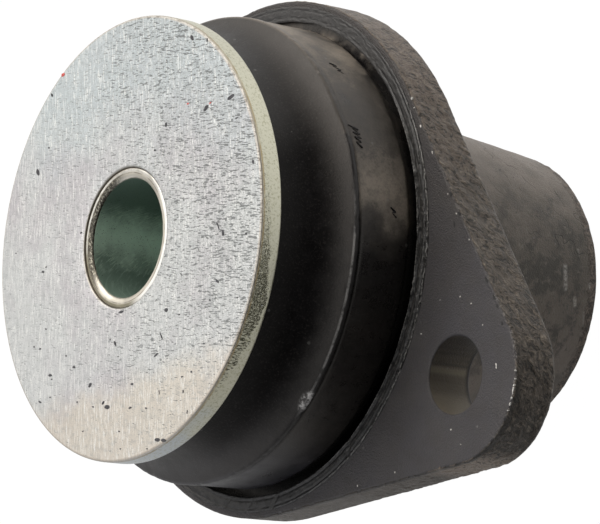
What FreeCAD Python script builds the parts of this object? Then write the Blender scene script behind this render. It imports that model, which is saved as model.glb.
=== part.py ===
import FreeCAD, Part
import math
import os

# Two-bolt cab vibration damper: a steel sleeve in a rubber cushion, held by a cast
# flange with a tapering skirt, and a stop washer riveted on the sleeve's end.
# The sleeve's axis is Z, the bolt holes lie along X, and the skirt's open end is
# the base. Millimetres.

# Heights above the skirt's open end
overall_height = 90.6
flange_top_height = 59.6
lip_height = 72.8

# Stop washer
washer_diameter = 80.0
washer_thickness = 4.2
washer_rim_break = 0.6
washer_hole_break = 0.4

# Inner sleeve
bore_diameter = 21.4
bore_mouth_width = 0.9
bore_mouth_depth = 0.7
sleeve_diameter = 30.0
sleeve_end_chamfer = 0.8
spigot_diameter = 25.2
spigot_clearance = 0.05
spigot_setback = 0.25
spigot_edge_break = 0.35

# Rubber body
neck_diameter = 72.0
neck_drop = 9.4
lip_overhang = 0.5
lip_land = 0.9
barrel_shoulder_width = 0.9
barrel_shoulder_rise = 1.0
groove_width = 2.4
groove_floor_rubber = 1.4
lining_thickness = 1.0
flash_overhang = 1.7
flash_height = 0.2
flash_inner_ridge_width = 0.8
flash_inner_ridge_rise = 0.35
flash_outer_ridge_width = 0.6
flash_outer_ridge_rise = 0.2
rear_inset = 1.0
rear_dish_depth = 2.0

# Flange housing
bolt_spacing = 120.0
bolt_hole_diameter = 13.3
lobe_radius = 15.2
flange_rim_width = 2.8
flange_thickness = 9.3
flange_front_break = 0.5
flange_back_break = 1.0
recess_diameter = 90.2
recess_depth = 5.0
skirt_top_diameter = 64.8
skirt_end_diameter = 54.2
skirt_wall = 4.0
skirt_mouth_break = 1.5
skirt_hub_reach = 3.0
skirt_end_break = 0.6

# Heights that follow from them
washer_back_height = overall_height - washer_thickness
flange_back_height = flange_top_height - flange_thickness
recess_floor_height = flange_top_height - recess_depth

# Radii that follow from the recess in the flange
recess_radius = recess_diameter / 2
flange_body_radius = recess_radius + flange_rim_width
lining_radius = recess_radius - lining_thickness
groove_radius = lining_radius - groove_width
barrel_radius = groove_radius + barrel_shoulder_width
lip_radius = barrel_radius + lip_overhang
flash_radius = recess_radius + flash_overhang


def point(radius, height):
    """A point of a section, in the XZ plane."""
    return FreeCAD.Vector(radius, 0, height)


def line(start, end):
    return Part.LineSegment(start, end).toShape()


def bow(start, corner, end):
    """A smooth curve that leaves start towards the corner and reaches end from it."""
    curve = Part.BezierCurve()
    curve.setPoles([start, corner, end])
    return curve.toShape()


def turned(edges):
    """The solid that a closed section sweeps in one turn about Z."""
    section = Part.Face(Part.Wire(edges))
    return section.revolve(FreeCAD.Vector(0, 0, 0), FreeCAD.Vector(0, 0, 1), 360)


def turned_polygon(corners):
    points = [point(radius, height) for radius, height in corners]
    return turned([line(a, b) for a, b in zip(points, points[1:] + points[:1])])


def rings(shape, radius, height):
    """The circular edges about Z that a shape has at a radius and height."""
    near = 0.001
    found = []
    for edge in shape.Edges:
        circle = edge.Curve
        if not isinstance(circle, Part.Circle):
            continue
        centred = math.hypot(circle.Center.x, circle.Center.y) < near
        if centred and abs(circle.Radius - radius) < near and abs(circle.Center.z - height) < near:
            found.append(edge)
    return found


def skirt_radius(height):
    """The skirt's outer radius at a height."""
    share = height / flange_back_height
    return (skirt_end_diameter + (skirt_top_diameter - skirt_end_diameter) * share) / 2


def stop_washer():
    """A punched disc, its rim and hole broken on the face that the punch enters."""
    hole = spigot_diameter / 2 + spigot_clearance
    rim = washer_diameter / 2
    washer = turned_polygon([
        (hole, washer_back_height),
        (rim, washer_back_height),
        (rim, overall_height),
        (hole, overall_height),
    ])
    washer = washer.makeChamfer(washer_rim_break, rings(washer, rim, overall_height))
    return washer.makeChamfer(washer_hole_break, rings(washer, hole, overall_height))


def inner_sleeve():
    """A tube with a shoulder that the washer seats on and a spigot riveted through it."""
    bore = bore_diameter / 2
    spigot = spigot_diameter / 2
    top = overall_height - spigot_setback
    sleeve = turned_polygon([
        (bore, sleeve_end_chamfer),
        (bore + sleeve_end_chamfer, 0),
        (sleeve_diameter / 2, 0),
        (sleeve_diameter / 2, washer_back_height),
        (spigot, washer_back_height),
        (spigot, top),
        (bore + bore_mouth_width, top),
        (bore, top - bore_mouth_depth),
    ])
    return sleeve.makeChamfer(spigot_edge_break, rings(sleeve, spigot, top))


def flange_plate():
    """The two-bolt plate: a round body and two lobes joined by tangent sides."""
    body = flange_body_radius
    reach = bolt_spacing / 2
    lean = math.acos((body - lobe_radius) / reach)

    def on_body(angle):
        return FreeCAD.Vector(body * math.cos(angle), body * math.sin(angle), flange_back_height)

    def on_lobe(centre, angle):
        x = centre + lobe_radius * math.cos(angle)
        return FreeCAD.Vector(x, lobe_radius * math.sin(angle), flange_back_height)

    right_angle = math.pi / 2
    corners = [
        on_lobe(reach, lean), on_body(lean),
        on_body(math.pi - lean), on_lobe(-reach, math.pi - lean),
        on_lobe(-reach, math.pi + lean), on_body(math.pi + lean),
        on_body(-lean), on_lobe(reach, -lean),
    ]
    crowns = [on_body(right_angle), on_lobe(-reach, math.pi), on_body(-right_angle), on_lobe(reach, 0)]
    edges = []
    for turn, crown in enumerate(crowns):
        leave, meet = corners[2 * turn], corners[2 * turn + 1]
        following = corners[(2 * turn + 2) % len(corners)]
        edges.append(line(leave, meet))
        edges.append(Part.Arc(meet, crown, following).toShape())
    plate = Part.Face(Part.Wire(edges)).extrude(FreeCAD.Vector(0, 0, flange_thickness))

    for height, edge_break in ((flange_top_height, flange_front_break), (flange_back_height, flange_back_break)):
        rim = [edge for edge in plate.Edges if abs(edge.BoundBox.ZMin - height) < 0.001]
        plate = plate.makeChamfer(edge_break, rim)
    return plate


def housing_cavity():
    """The space inside the casting: a shallow recess over a tapering bore."""
    mouth = skirt_radius(recess_floor_height) - skirt_wall
    cavity = turned_polygon([
        (0, 0),
        (skirt_radius(0) - skirt_wall, 0),
        (mouth, recess_floor_height),
        (recess_radius, recess_floor_height),
        (recess_radius, flange_top_height),
        (0, flange_top_height),
    ])
    return cavity.makeChamfer(skirt_mouth_break, rings(cavity, mouth, recess_floor_height))


def skirt_blank():
    """The tapering skirt, still solid, splayed where it runs into the flange."""
    hub_height = flange_back_height - skirt_hub_reach
    return turned_polygon([
        (0, 0),
        (skirt_radius(0) - skirt_end_break, 0),
        (skirt_radius(skirt_end_break), skirt_end_break),
        (skirt_radius(hub_height), hub_height),
        (skirt_radius(flange_back_height) + skirt_hub_reach, flange_back_height),
        (0, flange_back_height),
    ])


def flange_housing():
    """The casting: bolt flange, cushion recess and tapering skirt in one piece."""
    housing = flange_plate().fuse(skirt_blank()).cut(housing_cavity())
    for side in (-1, 1):
        foot = FreeCAD.Vector(side * bolt_spacing / 2, 0, flange_back_height)
        housing = housing.cut(Part.makeCylinder(bolt_hole_diameter / 2, flange_thickness, foot))
    return housing.removeSplitter()


def rubber_body(housing):
    """One moulding: collar, lip, barrel and flash ring, with the skirt filled round the sleeve.

    Its section is drawn out to the middle of the casting's walls and trimmed by the casting.
    """
    sleeve = sleeve_diameter / 2
    neck = neck_diameter / 2
    land_height = lip_height - lip_land
    floor_height = recess_floor_height + groove_floor_rubber
    flash_top = flange_top_height + flash_height
    web_height = (recess_floor_height + flange_back_height) / 2

    collar_top = point(neck, washer_back_height)
    lip_front = point(lip_radius, lip_height)
    lip_back = point(lip_radius, land_height)
    barrel_top = point(barrel_radius, land_height)
    barrel_shoulder = point(barrel_radius, flange_top_height + barrel_shoulder_rise)
    ring = [
        point(groove_radius, floor_height),
        point(lining_radius, floor_height),
        point(lining_radius, flash_top),
        point(lining_radius + flash_inner_ridge_width / 2, flash_top + flash_inner_ridge_rise),
        point(lining_radius + flash_inner_ridge_width, flash_top),
        point(flash_radius - flash_outer_ridge_width, flash_top),
        point(flash_radius - flash_outer_ridge_width / 2, flash_top + flash_outer_ridge_rise),
        point(flash_radius, flash_top),
    ]
    core = [
        point(flash_radius, web_height),
        point(skirt_radius(web_height) - skirt_wall / 2, web_height),
        point(skirt_radius(rear_inset) - skirt_wall / 2, rear_inset),
        point(sleeve, rear_inset + rear_dish_depth),
        point(sleeve, washer_back_height),
        collar_top,
    ]
    corners = [lip_front, lip_back, barrel_top, barrel_shoulder] + ring + core
    flare = bow(collar_top, point(neck, washer_back_height - neck_drop), lip_front)
    blank = turned([flare] + [line(a, b) for a, b in zip(corners, corners[1:])])
    return blank.cut(housing)


os.makedirs("parts", exist_ok=True)
housing = flange_housing()
pieces = {
    "stop_washer": stop_washer(),
    "inner_sleeve": inner_sleeve(),
    "rubber_body": rubber_body(housing),
    "flange_housing": housing,
}
for name, shape in pieces.items():
    shape.exportStep(f"parts/{name}.step")
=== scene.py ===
import bpy
import math
from mathutils import Matrix, Vector, noise


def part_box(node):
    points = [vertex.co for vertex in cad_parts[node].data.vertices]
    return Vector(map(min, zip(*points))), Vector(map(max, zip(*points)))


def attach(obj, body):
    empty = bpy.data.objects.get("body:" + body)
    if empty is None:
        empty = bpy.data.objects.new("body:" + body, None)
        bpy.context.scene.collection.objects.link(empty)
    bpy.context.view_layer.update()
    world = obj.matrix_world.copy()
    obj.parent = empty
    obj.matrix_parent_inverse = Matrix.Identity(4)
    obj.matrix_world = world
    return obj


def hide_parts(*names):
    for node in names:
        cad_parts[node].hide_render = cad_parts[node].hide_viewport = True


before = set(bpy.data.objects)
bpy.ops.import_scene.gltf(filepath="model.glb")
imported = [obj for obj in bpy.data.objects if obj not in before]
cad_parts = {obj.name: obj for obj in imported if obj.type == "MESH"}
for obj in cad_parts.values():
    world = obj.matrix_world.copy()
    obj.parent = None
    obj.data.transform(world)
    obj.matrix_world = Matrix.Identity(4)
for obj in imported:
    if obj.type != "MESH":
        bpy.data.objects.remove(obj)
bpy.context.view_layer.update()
mm = 0.001
noise.seed_set(3)     # the flakes and the cast grain come out the same on each run
print('frame loaded:', ', '.join(sorted(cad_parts)))

# heights and radii that every piece shares, read from the frame
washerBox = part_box('stop_washer')
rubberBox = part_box('rubber_body')
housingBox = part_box('flange_housing')
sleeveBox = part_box('inner_sleeve')
topZ = washerBox[1].z
washerBackZ = washerBox[0].z
washerRadius = washerBox[1].x
flangeTopZ = housingBox[1].z
flangeReachX = housingBox[1].x
flangeRadius = housingBox[1].y
flashRadius = rubberBox[1].x
sleeveRadius = sleeveBox[1].x
sleeveTopZ = sleeveBox[1].z
flashOverhang = 1.7 * mm
recessRadius = flashRadius - flashOverhang
flangeThickness = 9.3 * mm
skirtHeight = flangeTopZ - flangeThickness


# small modelling helpers

def deselectAll():
    if bpy.context.object and bpy.context.object.mode != 'OBJECT':
        bpy.ops.object.mode_set(mode='OBJECT')
    bpy.ops.object.select_all(action='DESELECT')


def bow(start, corner, end, count):
    # a smooth curve that leaves start towards corner and meets end from it
    spots = []
    for i in range(count + 1):
        t = i / count
        a, b, c = (1 - t) ** 2, 2 * t * (1 - t), t ** 2
        spots.append((a * start[0] + b * corner[0] + c * end[0], a * start[1] + b * corner[1] + c * end[1]))
    return spots


def run(start, end, count):
    # evenly spaced points after start, up to and with end
    return [(start[0] + (end[0] - start[0]) * i / count, start[1] + (end[1] - start[1]) * i / count)
            for i in range(1, count + 1)]


def lathe(name, profile, steps):
    # a vertex is extruded round the section, then spun once about the sleeve's axis
    deselectAll()
    bpy.ops.mesh.primitive_plane_add(size=mm, location=(profile[0][0], 0, profile[0][1]))
    piece = bpy.context.object
    piece.name = name
    bpy.ops.object.transform_apply(location=True, rotation=False, scale=False)
    bpy.ops.object.mode_set(mode='EDIT')
    bpy.ops.mesh.select_mode(type='VERT')
    bpy.ops.mesh.select_all(action='SELECT')
    bpy.ops.mesh.merge(type='CENTER')
    for here, there in zip(profile, profile[1:] + profile[:1]):
        step = (there[0] - here[0], 0, there[1] - here[1])
        bpy.ops.mesh.extrude_vertices_move(TRANSFORM_OT_translate={'value': step})
    bpy.ops.mesh.select_all(action='SELECT')
    bpy.ops.mesh.spin(steps=steps, angle=2 * math.pi, center=(0, 0, 0), axis=(0, 0, 1))
    bpy.ops.mesh.select_all(action='SELECT')
    bpy.ops.mesh.remove_doubles(threshold=0.004 * mm)
    bpy.ops.mesh.normals_make_consistent(inside=False)
    bpy.ops.object.mode_set(mode='OBJECT')
    return piece


def pickEdges(piece, test):
    # leaves edit mode with only the edges that pass the test selected
    bpy.ops.object.mode_set(mode='EDIT')
    bpy.ops.mesh.select_mode(type='EDGE')
    bpy.ops.mesh.select_all(action='DESELECT')
    bpy.ops.object.mode_set(mode='OBJECT')
    spots = piece.data.vertices
    for edge in piece.data.edges:
        edge.select = test(spots[edge.vertices[0]].co, spots[edge.vertices[1]].co)
    bpy.ops.object.mode_set(mode='EDIT')


def bevelPicked(width, segments):
    bpy.ops.mesh.bevel(offset=width, segments=segments, profile=0.5, affect='EDGES', clamp_overlap=True)
    bpy.ops.object.mode_set(mode='OBJECT')


def ringTest(radius, height):
    near = 0.02 * mm

    def test(a, b):
        return all(abs(math.hypot(v.x, v.y) - radius) < near and abs(v.z - height) < near for v in (a, b))
    return test


def combine(piece, tool, operation):
    # boolean with a tool that is used up
    deselectAll()
    bpy.context.view_layer.objects.active = piece
    modifier = piece.modifiers.new('join', 'BOOLEAN')
    modifier.operation = operation
    modifier.solver = 'EXACT'
    modifier.object = tool
    bpy.ops.object.modifier_apply(modifier=modifier.name)
    bpy.data.objects.remove(tool)


def smoothShade(piece, degrees):
    # smooth up to an angle, with large flat faces kept flat right up to their rounded edges
    deselectAll()
    piece.select_set(True)
    bpy.context.view_layer.objects.active = piece
    bpy.ops.object.shade_smooth_by_angle(angle=math.radians(degrees))
    flat = piece.modifiers.new('flatFaces', 'WEIGHTED_NORMAL')
    flat.keep_sharp = True
    bpy.ops.object.modifier_apply(modifier=flat.name)


def azimuth(spot):
    return math.degrees(math.atan2(spot.y, spot.x))


def pushOut(spot, amount):
    # moves a vertex away from the sleeve's axis
    radius = math.hypot(spot.x, spot.y)
    spot.x += spot.x / radius * amount
    spot.y += spot.y / radius * amount


def ramp(value, stops):
    # straight steps between (place, value) pairs
    if value <= stops[0][0]:
        return stops[0][1]
    for (a, low), (b, high) in zip(stops, stops[1:]):
        if value <= b:
            return low + (high - low) * (value - a) / (b - a)
    return stops[-1][1]


def mark(piece, name, measure):
    # stores a number from 0 to 1 on each vertex, for the material to read
    layer = piece.data.attributes.new(name, 'FLOAT', 'POINT')
    for vertex, cell in zip(piece.data.vertices, layer.data):
        cell.value = max(0.0, min(1.0, measure(vertex.co)))


def triangleCount(piece):
    return sum(len(face.vertices) - 2 for face in piece.data.polygons)


def finishPiece(piece, material, node, degrees=35):
    piece.data.materials.clear()
    piece.data.materials.append(material)
    smoothShade(piece, degrees)
    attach(piece, 'root')
    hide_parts(node)
    print(piece.name, 'made,', triangleCount(piece), 'triangles')


# small material helpers

def newMaterial(name):
    material = bpy.data.materials.new(name)
    material.use_nodes = True
    tree = material.node_tree
    return material, tree, tree.nodes['Principled BSDF']


def connect(tree, made, inputs):
    # sockets are linked, while numbers, places and colours are set
    for key, value in inputs.items():
        socket = made.inputs[key]
        if isinstance(value, bpy.types.NodeSocket):
            tree.links.new(value, socket)
        elif socket.type == 'RGBA':
            socket.default_value = (*value, 1.0)
        else:
            socket.default_value = value


def node(tree, kind, settings=None, inputs=None):
    made = tree.nodes.new(kind)
    for key, value in (settings or {}).items():
        setattr(made, key, value)
    connect(tree, made, inputs or {})
    return made


def math2(tree, operation, a, b=0.5, clamp=False):
    return node(tree, 'ShaderNodeMath', {'operation': operation, 'use_clamp': clamp}, {0: a, 1: b}).outputs[0]


def vector2(tree, operation, a, b=(0, 0, 0), output=0):
    # output 1 is the number that a length or a dot product gives
    return node(tree, 'ShaderNodeVectorMath', {'operation': operation}, {0: a, 1: b}).outputs[output]


def scaled(tree, vector, share):
    return node(tree, 'ShaderNodeVectorMath', {'operation': 'SCALE'}, {0: vector, 'Scale': share}).outputs[0]


def times(tree, a, b):
    return math2(tree, 'MULTIPLY', a, b)


def minus(tree, a, b):
    return math2(tree, 'SUBTRACT', a, b)


def distance(tree, a, b):
    return math2(tree, 'ABSOLUTE', minus(tree, a, b))


def remap(tree, source, low, high, toLow=0.0, toHigh=1.0):
    return node(tree, 'ShaderNodeMapRange', {'interpolation_type': 'SMOOTHSTEP', 'clamp': True},
                {'From Min': low, 'From Max': high, 'To Min': toLow, 'To Max': toHigh,
                 'Value': source}).outputs['Result']


def mixColour(tree, factor, a, b):
    return node(tree, 'ShaderNodeMix', {'data_type': 'RGBA'}, {0: factor, 6: a, 7: b}).outputs[2]


def mixValue(tree, factor, a, b):
    return node(tree, 'ShaderNodeMix', {'data_type': 'FLOAT'}, {0: factor, 2: a, 3: b}).outputs[0]


def painted(tree, base, layers):
    # colours laid over each other, each where its value runs from low to high, up to its own strength
    for value, low, high, most, paint in layers:
        base = mixColour(tree, remap(tree, value, low, high, 0.0, most), base, paint)
    return base


def objectPlace(tree, scale=(1, 1, 1), turn=0.0, origin=(0, 0, 0)):
    # object coordinates in millimetres, moved, turned about Z and stretched
    coords = node(tree, 'ShaderNodeTexCoord')
    mapping = node(tree, 'ShaderNodeMapping', {'vector_type': 'TEXTURE'},
                   {'Location': origin, 'Rotation': (0, 0, turn),
                    'Vector': scaled(tree, coords.outputs['Object'], 1 / mm)})
    return vector2(tree, 'MULTIPLY', mapping.outputs[0], scale)


def noiseValue(tree, place, scale, detail=3.0, roughness=0.55, distortion=0.0):
    return node(tree, 'ShaderNodeTexNoise', None,
                {'Scale': scale, 'Detail': detail, 'Roughness': roughness, 'Distortion': distortion,
                 'Vector': place}).outputs['Fac']


def parts(tree, vector):
    return node(tree, 'ShaderNodeSeparateXYZ', None, {0: vector}).outputs


def stored(tree, name):
    # a value that mark has put on the mesh
    return node(tree, 'ShaderNodeAttribute', {'attribute_name': name}).outputs['Fac']


def bump(tree, height, strength, depth):
    return node(tree, 'ShaderNodeBump', None,
                {'Strength': strength, 'Distance': depth, 'Height': height}).outputs['Normal']


def radiusOf(tree, x, y):
    flatPlace = node(tree, 'ShaderNodeCombineXYZ', None, {0: x, 1: y})
    return vector2(tree, 'LENGTH', flatPlace.outputs[0], output=1)


def weighted(tree, terms):
    # sum of several values, each times its own number
    total = None
    for value, share in terms:
        part = times(tree, value, share)
        total = part if total is None else math2(tree, 'ADD', total, part)
    return total


# shared effects, each a node group with named inputs and outputs

def newGroup(name, inputs, outputs):
    group = bpy.data.node_groups.new(name, 'ShaderNodeTree')
    for label, kind, value in inputs:
        socket = group.interface.new_socket(name=label, in_out='INPUT', socket_type=kind)
        if value is not None:
            socket.default_value = value
    for label, kind in outputs:
        group.interface.new_socket(name=label, in_out='OUTPUT', socket_type=kind)
    entry = group.nodes.new('NodeGroupInput')
    leave = group.nodes.new('NodeGroupOutput')
    return group, entry.outputs, leave.inputs


def buildGrainGroup():
    # fine grain with larger swells: a height and a mask of its high spots
    group, entry, leave = newGroup(
        'grainAndSwell',
        [('Place', 'NodeSocketVector', None), ('Fine Scale', 'NodeSocketFloat', 2.0),
         ('Swell Scale', 'NodeSocketFloat', 0.3), ('Swell Share', 'NodeSocketFloat', 0.5)],
        [('Height', 'NodeSocketFloat'), ('Mask', 'NodeSocketFloat')])
    fine = noiseValue(group, entry['Place'], entry['Fine Scale'], 4.0, 0.6)
    swell = noiseValue(group, entry['Place'], entry['Swell Scale'], 2.0, 0.5)
    height = mixValue(group, entry['Swell Share'], fine, swell)
    group.links.new(height, leave['Height'])
    group.links.new(remap(group, height, 0.48, 0.66), leave['Mask'])
    return group


def buildDustGroup():
    # specks of pale dust and a thin uneven film
    group, entry, leave = newGroup(
        'dustAndFilm',
        [('Place', 'NodeSocketVector', None), ('Speck Size', 'NodeSocketFloat', 0.12),
         ('Speck Scale', 'NodeSocketFloat', 0.45), ('Film Scale', 'NodeSocketFloat', 0.08)],
        [('Specks', 'NodeSocketFloat'), ('Film', 'NodeSocketFloat')])
    cells = node(group, 'ShaderNodeTexVoronoi', {'feature': 'F1'},
                 {'Vector': entry['Place'], 'Scale': entry['Speck Scale'], 'Randomness': 1.0})
    near = math2(group, 'LESS_THAN', cells.outputs['Distance'], entry['Speck Size'])
    chosen = node(group, 'ShaderNodeSeparateColor', None, {0: cells.outputs['Color']})
    few = math2(group, 'GREATER_THAN', chosen.outputs[0], 0.72)
    group.links.new(times(group, near, few), leave['Specks'])
    film = noiseValue(group, entry['Place'], entry['Film Scale'], 5.0, 0.65)
    group.links.new(remap(group, film, 0.42, 0.72), leave['Film'])
    return group


grainGroup = buildGrainGroup()
dustGroup = buildDustGroup()


def useGroup(tree, group, place, values):
    made = tree.nodes.new('ShaderNodeGroup')
    made.node_tree = group
    connect(tree, made, {'Place': place, **values})
    return made.outputs


# stop washer

washerValues = {
    'holeRadius': 12.65 * mm,
    'holeRound': 0.4 * mm,
    'frontRound': 0.55 * mm,
    'backRound': 0.35 * mm,
    'tornDepth': 0.09 * mm,
    'faceColour': (0.675, 0.695, 0.70),
    'coolColour': (0.53, 0.60, 0.63),
    'lilacColour': (0.57, 0.55, 0.58),
    'stainColour': (0.70, 0.645, 0.56),
    'rimColour': (0.68, 0.665, 0.53),
    'rimCoolColour': (0.62, 0.66, 0.68),
    'edgeColour': (0.40, 0.30, 0.16),
    'dashColour': (0.165, 0.175, 0.175),
    'tornColour': (0.110, 0.108, 0.072),
    'rollTurn': math.radians(19.4),  # direction in which the plate was rolled
}

# how dense the torn band is round the rim, and where its lower border lies
tornShare = [(-26, 0.0), (-20, 0.5), (-12, 0.85), (0, 1.0), (12, 1.0), (22, 0.7), (32, 0.42), (48, 0.25),
             (58, 0.0)]
tornFrom = [(-26, 89.7), (-15, 88.5), (-6, 87.6), (3, 86.7), (10, 87.4), (18, 88.2), (32, 88.7), (58, 89.6)]

# dark flakes on the face: x, y, length and width in millimetres, and the turn in degrees
flecks = [
    (2.4, 38.0, 1.3, 0.7, -24), (6.9, 38.9, 0.7, 0.35, -47), (-2.9, 32.2, 0.7, 0.22, -33),
    (18.4, 31.9, 2.1, 0.75, 41), (12.4, 28.1, 1.6, 0.8, 51), (2.4, 21.9, 0.9, 0.6, -61),
    (21.8, 29.2, 1.0, 0.25, 30), (-35.4, 16.0, 0.9, 0.5, -13), (-32.7, 1.7, 1.5, 0.85, -31),
    (-31.4, 6.9, 0.5, 0.3, 18), (29.8, 23.8, 0.8, 0.55, -47), (1.4, 16.9, 0.7, 0.34, 18),
    (25.6, 10.9, 1.7, 0.28, -33), (27.5, 10.3, 1.1, 0.7, -46), (33.8, 12.3, 0.55, 0.34, 19),
    (-13.4, -3.7, 0.8, 0.36, 19), (-32.2, -14.2, 0.6, 0.25, 19), (-21.2, -13.1, 0.65, 0.3, 19),
    (-21.7, -14.2, 0.9, 0.45, 20), (29.9, 2.4, 1.1, 0.45, -5), (29.5, -1.2, 0.6, 0.35, 20),
    (36.6, 1.8, 0.55, 0.3, 20), (18.3, -7.1, 1.1, 0.65, 20), (5.6, -12.1, 1.6, 0.42, 32),
    (22.3, -6.5, 0.65, 0.32, 20), (19.1, -11.6, 1.7, 0.26, -32), (6.6, -17.7, 0.95, 0.6, -31),
    (4.8, -17.7, 0.6, 0.22, 21), (31.5, -8.4, 0.55, 0.3, 21), (19.3, -15.1, 1.5, 0.3, 48),
    (8.7, -19.5, 0.5, 0.22, 21), (-15.5, -27.1, 0.7, 0.32, 21), (-17.6, -27.5, 0.5, 0.28, 21),
    (-15.5, -23.2, 0.6, 0.24, 20), (-3.5, -26.1, 0.85, 0.4, 21), (-6.9, -25.2, 0.6, 0.25, 21),
    (-10.0, -30.2, 1.15, 0.5, 21), (-9.1, -30.6, 0.55, 0.25, 21), (2.9, -27.1, 1.1, 0.7, 58),
    (15.0, -22.2, 0.9, 0.42, 21), (28.3, -15.7, 0.6, 0.3, 21), (30.4, -14.0, 0.5, 0.3, 21),
    (29.8, -17.8, 0.6, 0.3, -61), (23.3, -20.5, 0.9, 0.16, -53), (9.8, -28.6, 1.7, 0.8, 22),
    (8.3, -28.4, 0.9, 0.5, 60), (16.5, -26.1, 0.9, 0.36, 34), (5.7, -30.2, 0.5, 0.28, 22),
    (21.0, -24.4, 0.6, 0.27, 22), (-10.7, -35.7, 0.95, 0.38, 5), (-8.0, -33.7, 0.55, 0.25, 21),
    (0.6, -31.3, 0.5, 0.25, 22), (32.6, -20.5, 0.7, 0.3, -61), (15.4, -31.0, 0.5, 0.27, 22),
    (4.9, -35.2, 0.5, 0.25, 22), (26.8, -28.0, 1.6, 0.65, 22), (28.5, -27.4, 1.4, 0.6, 22),
    (17.2, -33.6, 0.5, 0.25, 22), (24.7, -30.5, 0.5, 0.24, 22),
]
redFlecks = [(-33.7, 20.5, 1.1, 0.7, 30), (6.9, 27.2, 0.55, 0.3, 17), (13.2, 29.2, 0.8, 0.2, 50)]


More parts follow.
